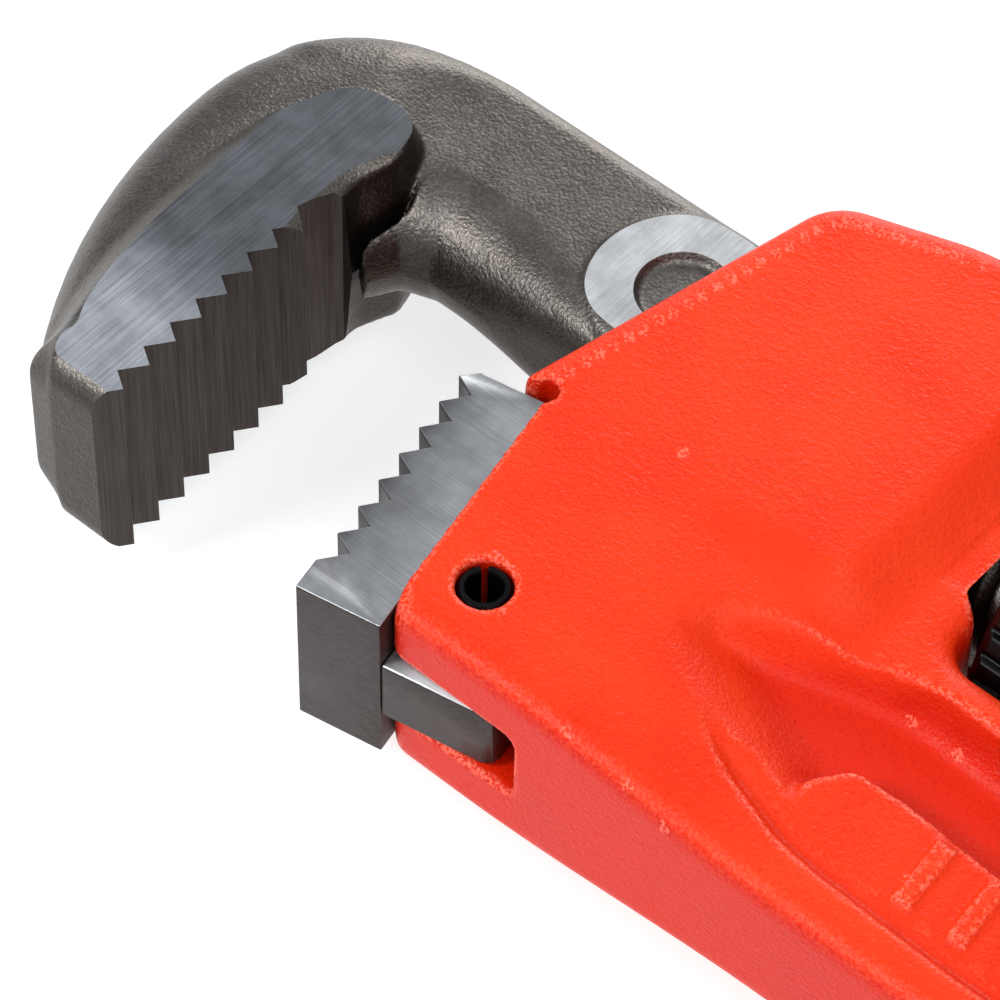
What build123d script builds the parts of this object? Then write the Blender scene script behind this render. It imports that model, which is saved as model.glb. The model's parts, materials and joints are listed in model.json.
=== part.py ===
from build123d import *
import math
import os

# Straight pipe wrench lying on its side, in millimetres.
# +X runs from the handle's end to the hook jaw, +Y to the side the mouth opens, +Z up.
# While modelling, X = 0 is at the middle of the nut and Z = 0 halfway through the thickness.

# ---- overall sizes ----
HANDLE_REACH = 290.5       # nut centre to the handle's end
HOUSING_T = 27.0           # housing thickness across its side faces
BEAM_T = 20.0              # thickness of the handle beam
SHANK_W = 24.6             # hook jaw shank across the thread crests
SHANK_T = 18.5             # hook jaw shank across its flats
HEAD_T = 28.0              # hook jaw across its ground flats
AXIS_Y = -3.6              # axis of the shank, its thread and the nut
CROWN_X = 126.4            # nut centre to the outermost point of the hook
CROWN_R = 25.0
BACK_R = 69.0
NOSE_Y = 54.4
RING_RISE = 0.3            # ring on the shank above its flats
RING_X = 62.5
RING_Y = AXIS_Y
RING_R = 11.1
DIMPLE_R = 5.9             # sunk middle of the ring
DIMPLE_DEPTH = 0.8

# ---- thread and nut ----
PITCH = 5.0
THREAD_DEPTH = 2.2
RIDGE_ROOT_W = 3.1
RIDGE_CREST_W = 1.9
THREAD_PLAY = 0.3          # radial play of the nut's thread
FLANK_PLAY = 0.35          # play across both flanks of the nut's thread
THREAD_LOW = -94.0         # threaded length along the shank
THREAD_HIGH = 33.5
NUT_D = 38.0
NUT_W = 16.6
NUT_GROOVES = 36

# ---- play in the housing ----
ROCK_DEG = 2.5             # how far the hook jaw rocks each way
NUT_PLAY = 1.0             # along the shank, each side of the nut
SHANK_PLAY = 0.45          # shank to the channel's walls
NUT_SIDE_PLAY = 1.3        # nut rim to the window's ends

# ---- teeth ----
TOOTH_PITCH = 4.38         # along the hook jaw
HOOK_TEETH = 8
HEEL_TEETH = 7
HEEL_PITCH = 4.25
HEEL_TOOTH = 2.6           # tooth height on the heel jaw

# ---- heel jaw ----
HEEL_X = 62.3              # back corner of the heel jaw's seat
HEEL_Y = 20.1
HEEL_LEAN = 10.4           # degrees between the seat and the Y axis
HEEL_LEN = 35.6
HEEL_H = 10.6
HEEL_T = 23.0
TONGUE_T = 9.0
TONGUE_DEPTH = 14.2
TONGUE_PLAY = 0.6          # housing slot to tongue, each side

# ---- spring pin ----
PIN_D = 6.35
PIN_BORE = 3.9
PIN_SLIT = 1.2
PIN_EDGE = 6.3             # front end of the heel jaw to the pin's edge
PIN_DEPTH = 7.3            # seat to the pin's centre
PIN_SHORT = 1.2            # how much shorter the pin is than the housing is thick

# ---- springs ----
LEAF_T = 0.9
LEAF_W = 12.0
LEAF_BACK = 4.4            # shank to the back of the leaf at the rivet
RIVET_D = 4.0
COIL_D = 7.2
WIRE_D = 1.1
COIL_TURNS = 5
COIL_LEN = 11.4
COIL_X = 26.0
RIVET_X = 17.0

# ---- raised bars on the handle ----
BARS = 22
BAR_PITCH = 9.6

# ---- hang hole ----
HANG_R = 8.0

HALF_T = HOUSING_T / 2
HALF_BEAM = BEAM_T / 2
HALF_W = SHANK_W / 2
ROOT_R = HALF_W - THREAD_DEPTH
NUT_R = NUT_D / 2
ROCK = math.tan(math.radians(ROCK_DEG))
HANG_X = -HANDLE_REACH + 17.0
HANG_Y = 37.0


def prism(points, half):
    """Polygon in XY, extruded the same distance up and down."""
    return extrude(Polygon(*points, align=None), half, both=True)


def turned(points, low_y, high_y):
    """Polygon given in X and Z, extruded from low_y to high_y."""
    face = Plane.XZ * Polygon(*points, align=None)
    return Pos(0, low_y, 0) * extrude(face, -(high_y - low_y))


def heel_frame():
    """Placement of the heel jaw: local X runs along the seat to the front, local Y up to the teeth."""
    lean = math.radians(HEEL_LEAN)
    along = (-math.sin(lean), math.cos(lean), 0)
    return Plane(origin=(HEEL_X, HEEL_Y, 0), x_dir=along, z_dir=(0, 0, -1)).location


def helical_ridge(root_r, crest_r, root_w, crest_w, length):
    """Trapezoid swept along a right-hand helix about Z, starting at Z = 0."""
    path = Helix(PITCH, length, root_r)
    section = Polygon(
        (-0.6, -root_w / 2),
        (crest_r - root_r, -crest_w / 2),
        (crest_r - root_r, crest_w / 2),
        (-0.6, root_w / 2),
        align=None,
    )
    start = Plane(origin=path @ 0, x_dir=(1, 0, 0), z_dir=path % 0)
    return sweep(start * section, path=path, is_frenet=True)


def threaded_bar():
    """Threaded part of the shank: a threaded rod flattened on both sides."""
    length = THREAD_HIGH - THREAD_LOW
    low = (Align.CENTER, Align.CENTER, Align.MIN)
    core = Cylinder(ROOT_R, length, align=low)
    ridge = helical_ridge(ROOT_R, HALF_W, RIDGE_ROOT_W, RIDGE_CREST_W, length + PITCH)
    flats = Box(SHANK_T, SHANK_W + 4, length, align=low)
    bar = (core & flats) + (Pos(0, 0, -PITCH / 2) * ridge & flats)
    return Pos(THREAD_LOW, AXIS_Y, 0) * (Rot(0, 90, 0) * bar)


def on_arc(centre, radius, angle):
    """Point on a circle at an angle in radians."""
    return centre[0] + radius * math.cos(angle), centre[1] + radius * math.sin(angle)


def hook_outline():
    """Side outline of the hook jaw above its thread, teeth not yet cut."""
    back = AXIS_Y - HALF_W
    front = AXIS_Y + HALF_W
    crown_c = (CROWN_X - CROWN_R, back + CROWN_R)
    back_c = (CROWN_X - BACK_R, crown_c[1])
    nose_a = math.asin((NOSE_Y - crown_c[1]) / BACK_R)
    nose = on_arc(back_c, BACK_R, nose_a)
    return [
        Line((THREAD_HIGH, back), (crown_c[0], back)),
        ThreePointArc((crown_c[0], back), on_arc(crown_c, CROWN_R, -math.pi / 4), (CROWN_X, crown_c[1])),
        ThreePointArc((CROWN_X, crown_c[1]), on_arc(back_c, BACK_R, nose_a / 2), nose),
        Line(nose, (97.0, NOSE_Y)),
        Line((97.0, NOSE_Y), (97.0, front + 4.5)),
        ThreePointArc((97.0, front + 4.5), (95.2, front + 1.4), (91.0, front)),
        Line((91.0, front), (THREAD_HIGH, front)),
        Line((THREAD_HIGH, front), (THREAD_HIGH, back)),
    ]


def hook_thickness():
    """Front-on outline, X against Z, that gives the forging its thickness along X."""
    t = SHANK_T / 2
    up = [
        Line((THREAD_HIGH, t), (93, t)),
        ThreePointArc((93, t), (98, t + 1.1), (104, t + 2.9)),
        Line((104, t + 2.9), (112, t + 3.0)),
        ThreePointArc((112, t + 3.0), (121.5, t + 0.9), (CROWN_X + 1, t - 4.5)),
    ]
    down = [edge.mirror(Plane.XZ) for edge in up]
    caps = [
        Line((THREAD_HIGH, t), (THREAD_HIGH, -t)),
        Line((CROWN_X + 1, t - 4.5), (CROWN_X + 1, -t + 4.5)),
    ]
    return up + down + caps


def tooth_cutter(start, step, tip, count, past, half):
    """Saw-tooth strip from the first root along step, closed past the tips."""
    points = []
    for i in range(count):
        root = (start[0] + i * step[0], start[1] + i * step[1])
        points.append(root)
        points.append((root[0] + tip[0], root[1] + tip[1]))
    points.append((start[0] + count * step[0], start[1] + count * step[1]))
    points.extend(past)
    return prism(points, half)


def hook_jaw():
    """Forged hook jaw: threaded shank, crown and toothed head with ground flats."""
    outline = make_face(Wire(hook_outline()))
    slab = extrude(outline, HEAD_T, both=True)
    profile = make_face(Wire(hook_thickness()))
    lift = extrude(Plane.XZ * profile, 80, both=True)
    body = slab & lift
    pad = make_face(Wire([
        Line((97.0, 13.0), (97.0, NOSE_Y)),
        Line((97.0, NOSE_Y), (104.5, NOSE_Y)),
        ThreePointArc((104.5, NOSE_Y), (109.2, 51.6), (111.3, 46.0)),
        Line((111.3, 46.0), (112.1, 9.0)),
        ThreePointArc((112.1, 9.0), (104.6, -0.3), (96.9, 6.0)),
        Line((96.9, 6.0), (97.0, 13.0)),
    ]))
    body += extrude(pad, HEAD_T / 2, both=True)
    step = (0.19, -TOOTH_PITCH)
    first = (99.3, 53.9)
    end = (first[0] + HOOK_TEETH * step[0], first[1] + HOOK_TEETH * step[1])
    past = [(end[0] - 1.3, end[1] - 4.6), (86.0, end[1] - 4.6), (86.0, 66.0), (98.9, 66.0)]
    body -= tooth_cutter(first, step, (-2.13, -2.88), HOOK_TEETH, past, HEAD_T)
    body += threaded_bar()
    ring = Pos(RING_X, RING_Y, 0) * Cylinder(RING_R, SHANK_T + 2 * RING_RISE)
    body += ring & Pos(RING_X, AXIS_Y, 0) * Box(40, SHANK_W, 40)
    for side in (1, -1):
        dimple = Cylinder(DIMPLE_R, 2 * DIMPLE_DEPTH)
        body -= Pos(RING_X, RING_Y, side * (SHANK_T / 2 + RING_RISE)) * dimple
    return body


def heel_jaw():
    """Toothed insert with a tongue that hooks into the housing."""
    root = HEEL_H - HEEL_TOOTH
    points = [(0, 0), (0, root + 0.6), (1.7, HEEL_H)]
    for i in range(HEEL_TEETH - 1):
        at = 1.7 + i * HEEL_PITCH
        points.append((at + 1.7, root))
        points.append((at + HEEL_PITCH, HEEL_H))
    last = points[-1][0]
    points += [(last + 1.7, root), (last + 4.2, HEEL_H), (HEEL_LEN, HEEL_H), (HEEL_LEN, 0)]
    block = prism(points, HEEL_T / 2)
    tongue = prism(
        [(3.0, 0.5), (3.0, -9.0), (8.0, -TONGUE_DEPTH), (HEEL_LEN - 1.6, -TONGUE_DEPTH),
         (HEEL_LEN, -TONGUE_DEPTH + 1.6), (HEEL_LEN, 0.5)],
        TONGUE_T / 2,
    )
    pin_at = HEEL_LEN - PIN_EDGE - PIN_D / 2
    jaw = block + tongue
    jaw -= Pos(pin_at, -PIN_DEPTH, 0) * Cylinder(PIN_D / 2, 60)
    return heel_frame() * jaw


def pin_centre():
    """Centre of the spring pin in the model's frame."""
    lean = math.radians(HEEL_LEAN)
    t = HEEL_LEN - PIN_EDGE - PIN_D / 2
    x = HEEL_X - t * math.sin(lean) - PIN_DEPTH * math.cos(lean)
    y = HEEL_Y + t * math.cos(lean) - PIN_DEPTH * math.sin(lean)
    return x, y


def heel_jaw_pin():
    """Slit spring pin through the housing and the heel jaw's tongue."""
    length = HOUSING_T - PIN_SHORT
    pin = Cylinder(PIN_D / 2, length) - Cylinder(PIN_BORE / 2, length)
    slit = Box(PIN_D, PIN_SLIT, length, align=(Align.MIN, Align.CENTER, Align.CENTER))
    pin -= Rot(0, 0, -49) * slit
    pin = chamfer(pin.edges().filter_by(GeomType.CIRCLE).group_by(Axis.Z)[-1], 0.3)
    x, y = pin_centre()
    return Pos(x, y, 0) * pin


def knurled_nut():
    """Adjusting nut: grooved rim, threaded bore."""
    ridge = helical_ridge(
        ROOT_R + THREAD_PLAY, HALF_W + THREAD_PLAY,
        RIDGE_ROOT_W + FLANK_PLAY, RIDGE_CREST_W + FLANK_PLAY, NUT_W + 3 * PITCH,
    )
    start = THREAD_LOW - PITCH / 2
    turns = math.ceil((-NUT_W / 2 - PITCH - start) / PITCH)
    nut = Cylinder(NUT_R, NUT_W) - Pos(0, 0, start + (turns - 1) * PITCH) * ridge
    nut -= Cylinder(ROOT_R + THREAD_PLAY, NUT_W + 2)
    rim = chamfer(Cylinder(NUT_R, NUT_W).edges(), 1.4)
    groove = Cylinder(0.85, NUT_W + 2)
    for i in range(NUT_GROOVES):
        rim -= Rot(0, 0, i * 360 / NUT_GROOVES) * (Pos(NUT_R + 0.15, 0, 0) * groove)
    nut &= rim
    return Pos(0, AXIS_Y, 0) * (Rot(0, 90, 0) * nut)


def channel():
    """Space for the shank, wider away from the nut so that the jaw can rock."""
    gap = HALF_W + SHANK_PLAY
    ends = ((-60.0, gap + 60 * ROCK), (0.0, gap + 0.1), (80.0, gap + 80 * ROCK))
    points = [(x, AXIS_Y + y) for x, y in ends] + [(x, AXIS_Y - y) for x, y in reversed(ends)]
    return prism(points, SHANK_T / 2 + SHANK_PLAY)


def recess_side(sign):
    """Pocket in one side of the handle, with the raised pad and bars left inside."""
    outline = make_face(Wire([
        Line((-238, 49.6), (-120, 46.6)),
        Line((-120, 46.6), (-40, 49.6)),
        Line((-40, 49.6), (10, 49.6)),
        ThreePointArc((10, 49.6), (26.5, 44.0), (34.0, 31.4)),
        ThreePointArc((34.0, 31.4), (29.0, 26.8), (17.0, 24.2)),
        Line((17.0, 24.2), (-40, 24.2)),
        Line((-40, 24.2), (-120, 28.6)),
        Line((-120, 28.6), (-238, 25.2)),
        ThreePointArc((-238, 25.2), (-248, 37.4), (-238, 49.6)),
    ]))
    depth = 7.0
    pocket = Pos(0, 0, depth) * extrude(outline, HALF_T - depth + 1)
    pad = prism(
        [(-225, 32.0), (-120, 33.2), (-2, 35.4), (8, 37.4), (11.2, 41.2), (8, 46.2),
         (-2, 48.2), (-40, 48.0), (-120, 43.2), (-225, 44.4)],
        HALF_BEAM - 0.6,
    )
    pocket -= pad
    for i in range(BARS):
        at = -9.0 - BAR_PITCH * i
        lean = 41.6 - 3.4 * min(-at, 110) / 110
        pocket -= Pos(at, lean, 0) * Box(2.4, 9.0, BEAM_T - 0.2)
    if sign < 0:
        pocket = pocket.mirror(Plane.XY)
    return pocket


def beam_outline(front):
    """Side outline of the handle beam with its round end."""
    end_r = 17.0
    return [
        Line((50, front), (-16, front + 0.4)),
        Line((-16, front + 0.4), (-70, 52.6)),
        Line((-70, 52.6), (-150, 50.4)),
        Line((-150, 50.4), (HANG_X, HANG_Y + end_r)),
        ThreePointArc((HANG_X, HANG_Y + end_r), (-HANDLE_REACH, HANG_Y), (HANG_X, HANG_Y - end_r)),
        Line((HANG_X, HANG_Y - end_r), (-150, 24.6)),
        Line((-150, 24.6), (-60, 19.6)),
        Line((-60, 19.6), (-20, 19.6)),
        Line((-20, 19.6), (50, 30)),
        Line((50, 30), (50, front)),
    ]


def handle():
    """Cast handle and housing in one piece."""
    front = 53.5
    lean = math.radians(HEEL_LEAN)
    foot = (HEEL_X - HEEL_LEN * math.sin(lean), HEEL_Y + HEEL_LEN * math.cos(lean))
    block = prism(
        [(66.0, 19.4), (foot[0] + 0.1, front), (14, front), (4, 22), (-34, 19.0), (-36, -22.5),
         (-24, -28.6), (10, -30.2), (38.5, -29.4), (56.6, -23.0)],
        HALF_T,
    )
    block = fillet(block.edges().filter_by(Axis.Z), 4)
    block = fillet(block.edges().group_by(Axis.Z)[-1], 2.6)
    block = fillet(block.edges().group_by(Axis.Z)[0], 2.6)
    beam = extrude(make_face(Wire(beam_outline(front))), HALF_BEAM, both=True)
    beam = chamfer(beam.edges().group_by(Axis.Z)[-1], 2.0)
    beam = chamfer(beam.edges().group_by(Axis.Z)[0], 2.0)
    for sign in (1, -1):
        ramp = [(42, sign * HALF_T), (24, sign * (HALF_T - 1.5)), (4, sign * HALF_BEAM),
                (-60, sign * HALF_BEAM), (-60, sign * (HALF_T + 2)), (42, sign * (HALF_T + 2))]
        block -= turned(ramp, 24.2, 70)
    body = block + beam
    body -= recess_side(1)
    body -= recess_side(-1)
    # seat of the heel jaw and the slot for its tongue
    cut = prism([(-0.1, 0), (-0.1, 20), (60, 20), (60, 0)], HOUSING_T)
    deep = -TONGUE_DEPTH - 3.2
    slot = prism(
        [(1.5, 1), (1.5, -10), (7, deep), (60, deep), (60, 1)],
        TONGUE_T / 2 + TONGUE_PLAY,
    )
    body -= heel_frame() * cut
    body -= heel_frame() * slot
    # nut window, open on both sides
    reach = NUT_R + NUT_SIDE_PLAY
    window = Box(NUT_W + 2 * NUT_PLAY, 2 * reach, HOUSING_T + 20)
    body -= Pos(0, AXIS_Y, 0) * fillet(window.edges().filter_by(Axis.Z), 3)
    body -= channel()
    # pocket for the coil spring and seat for the leaf spring
    low = (Align.CENTER, Align.CENTER, Align.MIN)
    coil_pocket = Rot(-90, 0, 0) * Cylinder(COIL_D / 2 + 0.4, COIL_LEN + 1.6, align=low)
    body -= Pos(COIL_X, AXIS_Y + HALF_W + 0.5, 0) * coil_pocket
    body -= Pos(32, AXIS_Y - HALF_W - 2.0, 0) * Box(40, 5.0, LEAF_W + 1)
    x, y = pin_centre()
    body -= Pos(x, y, 0) * Cylinder(PIN_D / 2, HOUSING_T + 2)
    body -= Pos(RIVET_X, -24, 0) * (Rot(90, 0, 0) * Cylinder(RIVET_D / 2, 30))
    body -= Pos(HANG_X, HANG_Y, 0) * Cylinder(HANG_R, HOUSING_T)
    return body


def flat_spring():
    """Leaf behind the shank, bowed towards it."""
    low = AXIS_Y - HALF_W - LEAF_BACK
    bow = AXIS_Y - HALF_W - 0.25
    mid = (low + bow) / 2
    points = [(13, low), (24, low), (38, bow - LEAF_T - 0.1), (50, low + 1.4)]
    top = [(x, y + LEAF_T) for x, y in points]
    leaf = prism(points + top[::-1], LEAF_W / 2)
    leaf -= Pos(RIVET_X, mid, 0) * (Rot(90, 0, 0) * Cylinder(RIVET_D / 2 + 0.1, 20))
    return leaf


def spring_rivet():
    """Rivet that holds the leaf to the back wall."""
    inner = AXIS_Y - HALF_W - LEAF_BACK + LEAF_T
    outer = -29.6
    low = (Align.CENTER, Align.CENTER, Align.MIN)
    shank = Cylinder(RIVET_D / 2, inner - outer, align=low)
    head = Cylinder(RIVET_D / 2 + 1.4, 1.1, align=low)
    head = fillet(head.edges().group_by(Axis.Z)[-1], 0.8)
    rivet = shank + Pos(0, 0, inner - outer) * head
    return Pos(RIVET_X, outer, 0) * (Rot(-90, 0, 0) * rivet)


def coil_spring():
    """Round-wire compression spring between the housing and the shank."""
    rise = COIL_LEN - WIRE_D
    path = Helix(rise / COIL_TURNS, rise, (COIL_D - WIRE_D) / 2)
    start = Plane(origin=path @ 0, z_dir=path % 0)
    coil = sweep(start * Circle(WIRE_D / 2), path=path, is_frenet=True)
    coil = Rot(-90, 0, 0) * (Pos(0, 0, WIRE_D / 2) * coil)
    return Pos(COIL_X, AXIS_Y + HALF_W + 0.15, 0) * coil


def main():
    """Build every piece, put the origin under the middle of the tool and write the files."""
    nodes = {
        "handle": handle(),
        "hook_jaw": hook_jaw(),
        "heel_jaw": heel_jaw(),
        "heel_jaw_pin": heel_jaw_pin(),
        "knurled_nut": knurled_nut(),
        "flat_spring": flat_spring(),
        "coil_spring": coil_spring(),
        "spring_rivet": spring_rivet(),
    }
    boxes = [shape.bounding_box() for shape in nodes.values()]
    mid_x = (min(b.min.X for b in boxes) + max(b.max.X for b in boxes)) / 2
    mid_y = (min(b.min.Y for b in boxes) + max(b.max.Y for b in boxes)) / 2
    low_z = min(b.min.Z for b in boxes)
    os.makedirs("parts", exist_ok=True)
    for name, shape in nodes.items():
        placed = Pos(-mid_x, -mid_y, -low_z) * shape
        export_step(placed, "parts/" + name + ".step")
        b = placed.bounding_box()
        print(name, len(placed.solids()), round(placed.volume), b.min, b.max)
    print("modelling origin at", round(-mid_x, 4), round(-mid_y, 4), round(-low_z, 4))


main()
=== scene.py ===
"""Looks of a heavy-duty straight pipe wrench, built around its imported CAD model.

Shapes are worked out in millimetres in the wrench's own frame: X = 0 at the middle of the adjusting
nut and growing towards the hook jaw, Y to the side the mouth opens, Z up from the side it lies on.
Cast and forged pieces are carved as distance fields and meshed; ground faces, teeth and flats are then
cut with exact solids, as they are on the real tool.
"""
import json
import logging
import math
from dataclasses import dataclass
from enum import Enum
from typing import Dict, List, Optional, Sequence, Tuple, Union

import bmesh
import bpy
import numpy as np
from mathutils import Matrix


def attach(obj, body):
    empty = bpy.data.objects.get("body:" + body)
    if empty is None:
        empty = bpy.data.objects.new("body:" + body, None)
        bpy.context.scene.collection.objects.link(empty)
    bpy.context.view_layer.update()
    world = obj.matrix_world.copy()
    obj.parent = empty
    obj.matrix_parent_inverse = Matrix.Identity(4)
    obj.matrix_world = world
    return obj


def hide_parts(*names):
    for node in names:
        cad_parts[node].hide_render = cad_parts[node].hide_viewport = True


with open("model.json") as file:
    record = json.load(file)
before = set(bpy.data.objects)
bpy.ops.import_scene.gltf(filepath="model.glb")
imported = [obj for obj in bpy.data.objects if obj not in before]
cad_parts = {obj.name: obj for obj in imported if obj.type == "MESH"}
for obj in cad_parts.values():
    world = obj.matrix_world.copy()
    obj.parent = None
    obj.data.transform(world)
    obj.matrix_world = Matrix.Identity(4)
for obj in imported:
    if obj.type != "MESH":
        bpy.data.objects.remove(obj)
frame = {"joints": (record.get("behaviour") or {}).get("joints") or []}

import openvdb
from mathutils import Matrix, Vector

log = logging.getLogger("pipe_wrench")
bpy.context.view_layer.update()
MM = 0.001
AXIS_Y = -3.6  # the nut's axis runs this far beside the origin, in mm
NUT_CENTRE = next(joint for joint in frame["joints"] if joint["name"] == "jaw_rock")["pos_m"]
ORIGIN = Vector((NUT_CENTRE[0], NUT_CENTRE[1] - AXIS_Y * MM, NUT_CENTRE[2]))
Socket = bpy.types.NodeSocket
Tree = bpy.types.NodeTree
Piece = bpy.types.Object
Array = np.ndarray
SocketValue = Union[float, Sequence[float], Socket]


class Body(Enum):
    """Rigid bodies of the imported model."""

    HANDLE = "handle"
    SPRINGS = "springs"
    HOOK_JAW = "hook_jaw"
    NUT = "knurled_nut"


class Slot(Enum):
    """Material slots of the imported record."""

    ENAMEL = "enamel"
    FORGED = "forged_steel"
    GROUND = "ground_steel"
    BLACK = "black_steel"
    NUT = "nut_steel"
    SPRING = "spring_steel"
    RIVET = "rivet_steel"


# ---------------------------------------------------------------- shape tools


def rounded(points: Sequence[Tuple[float, float, float]], steps: int = 7) -> Array:
    """Closed outline with a rounded corner at each point.

    Args:
        points: (x, y, corner radius) in mm, in order around the outline.
        steps: Number of short sides along each corner.

    Returns:
        Corner points of the outline, one row each.
    """
    out: List[Tuple[float, float]] = []
    count = len(points)
    for i, (x, y, r) in enumerate(points):
        here = np.array((x, y))
        before = np.array(points[i - 1][:2]) - here
        after = np.array(points[(i + 1) % count][:2]) - here
        len_a, len_b = np.linalg.norm(before), np.linalg.norm(after)
        before, after = before / len_a, after / len_b
        angle = math.acos(float(np.clip(before @ after, -1, 1)))
        if r <= 0 or abs(math.pi - angle) < 0.02:
            out.append((x, y))
            continue
        reach = min(r / math.tan(angle / 2), 0.48 * len_a, 0.48 * len_b)
        radius = reach * math.tan(angle / 2)
        bisector = (before + after) / np.linalg.norm(before + after)
        centre = here + bisector * radius / math.sin(angle / 2)
        start, end = here + before * reach - centre, here + after * reach - centre
        sweep = math.atan2(start[0] * end[1] - start[1] * end[0], start @ end)
        for k in range(steps + 1):
            a = sweep * k / steps
            turn = np.array(((math.cos(a), -math.sin(a)), (math.sin(a), math.cos(a))))
            out.append(tuple(centre + turn @ start))
    return np.array(out)


def outline_distance(outline: Array, x: Array, y: Array) -> Array:
    """Signed distance to a closed outline, negative inside.

    Args:
        outline: Corner points in mm.
        x: X of the places asked for.
        y: Y of the places asked for.

    Returns:
        Distance in mm at each place.
    """
    nearest = np.full(np.broadcast(x, y).shape, 1e12)
    inside = np.zeros(nearest.shape, bool)
    for (ax, ay), (bx, by) in zip(outline, np.roll(outline, -1, axis=0)):
        ex, ey = bx - ax, by - ay
        t = np.clip(((x - ax) * ex + (y - ay) * ey) / (ex * ex + ey * ey + 1e-12), 0, 1)
        nearest = np.minimum(nearest, (x - ax - ex * t) ** 2 + (y - ay - ey * t) ** 2)
        slope = ex / ey if abs(ey) > 1e-9 else 0.0
        inside ^= ((ay > y) != (by > y)) & (x < slope * (y - ay) + ax)
    return np.where(inside, -1.0, 1.0) * np.sqrt(nearest)


def ease(t: Array) -> Array:
    """Smooth step from 0 to 1."""
    t = np.clip(t, 0, 1)
    return t * t * (3 - 2 * t)


def both(a: Array, b: Array, k: Union[float, Array]) -> Array:
    """Intersection of two fields with its edge rounded over k mm."""
    return np.maximum(a, b) + np.maximum(k - np.abs(a - b), 0) ** 2 / (4 * k)


def either(a: Array, b: Array, k: Union[float, Array]) -> Array:
    """Union of two fields with its inner corner filled over k mm."""
    return -both(-a, -b, k)


def slab(z: Array, height: Array, step: float) -> Array:
    """Field of a body whose upper and lower faces follow a height map.

    Args:
        z: Z of the grid.
        height: Half-thickness over the plan, in mm.
        step: Grid spacing in mm.

    Returns:
        Field evened out for the slope of the height map.
    """
    gx, gy = np.gradient(height, step)
    even = 1 / np.sqrt(1 + gx**2 + gy**2)
    return (np.abs(z) - height[:, :, None]) * even[:, :, None]


@dataclass(frozen=True)
class Grid:
    """Block of evenly spaced points that a cast or forged piece is carved in."""

    low: Tuple[float, float, float]
    high: Tuple[float, float, float]
    step: float

    def axes(self) -> Tuple[Array, Array, Array]:
        """X, Y and Z of the grid, each shaped to spread over the block."""
        x, y, z = (np.arange(a, b + self.step, self.step) for a, b in zip(self.low, self.high))
        return x[:, None, None], y[None, :, None], z[None, None, :]

    def mesh(self, name: str, field: Array) -> Piece:
        """Mesh of the surface where the field is zero.

        Args:
            name: Name of the new object.
            field: Signed distance over the grid, negative inside.

        Returns:
            Object with its vertices in the row frame, in metres.
        """
        volume = openvdb.FloatGrid(self.step * 4)
        volume.copyFromArray(np.clip(field, -self.step * 4, self.step * 4).astype(np.float32))
        points, quads = volume.convertToQuads(isovalue=0.0)
        points = np.array(self.low) + points.astype(float) * self.step
        return new_mesh(name, points, quads.astype(int).tolist())


def new_mesh(name: str, points_mm: Array, faces: Sequence[Sequence[int]]) -> Piece:
    """New object from points in mm and faces, facing outwards.

    Args:
        name: Name of the object.
        points_mm: Points in the wrench's own frame.
        faces: Corner numbers of each face.

    Returns:
        Linked mesh object in the row frame.
    """
    mesh = bpy.data.meshes.new(name)
    mesh.from_pydata((np.asarray(points_mm, float) * MM + np.array(ORIGIN)).tolist(), [], faces)
    build = bmesh.new()
    build.from_mesh(mesh)
    if build.calc_volume(signed=True) < 0:
        bmesh.ops.reverse_faces(build, faces=build.faces)
    build.to_mesh(mesh)
    build.free()
    obj = bpy.data.objects.new(name, mesh)
    bpy.context.scene.collection.objects.link(obj)
    return obj


def prism(name: str, outline: Sequence[Tuple[float, float]], low: float, high: float) -> Piece:
    """Straight-sided solid over an outline, from low to high in Z, in mm."""
    count = len(outline)
    points = [(x, y, low) for x, y in outline] + [(x, y, high) for x, y in outline]
    sides = [(i, (i + 1) % count, count + (i + 1) % count, count + i) for i in range(count)]
    faces = [tuple(range(count))[::-1], tuple(range(count, 2 * count))] + sides
    obj = new_mesh(name, np.array(points), faces)
    tidy = bmesh.new()
    tidy.from_mesh(obj.data)
    bmesh.ops.recalc_face_normals(tidy, faces=tidy.faces)
    tidy.to_mesh(obj.data)
    tidy.free()
    return obj


def bake(obj: Piece) -> None:
    """Apply every modifier of an object to its mesh."""
    evaluated = obj.evaluated_get(bpy.context.evaluated_depsgraph_get())
    mesh = bpy.data.meshes.new_from_object(evaluated)
    obj.modifiers.clear()
    obj.data = mesh


def carve(obj: Piece, cutter: Piece, finish: int) -> None:
    """Cut a solid out of an object; the cut faces take one of its materials.

    Args:
        obj: Object to cut.
        cutter: Solid that is taken away and then deleted.
        finish: Index of the object's material for the cut faces.
    """
    for material in obj.data.materials:
        cutter.data.materials.append(material)
    for face in cutter.data.polygons:
        face.material_index = finish
    modifier = obj.modifiers.new("cut", "BOOLEAN")
    modifier.operation = "DIFFERENCE"
    modifier.solver = "MANIFOLD"
    modifier.object = cutter
    bake(obj)
    bpy.data.objects.remove(cutter)


def ringed(name: str, points: Sequence[Sequence[float]], ring: int) -> Piece:
    """Closed skin over points that come ring after ring.

    Args:
        name: Name of the object.
        points: Points in mm.
        ring: How many points each ring has.

    Returns:
        The new object.
    """
    last = len(points) - ring
    faces = []
    for start in range(0, last, ring):
        for j in range(ring):
            a, b = start + j, start + (j + 1) % ring
            faces.append((a, b, b + ring, a + ring))
    faces += [tuple(range(ring))[::-1], tuple(range(last, last + ring))]
    return new_mesh(name, np.array(points), faces)


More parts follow.
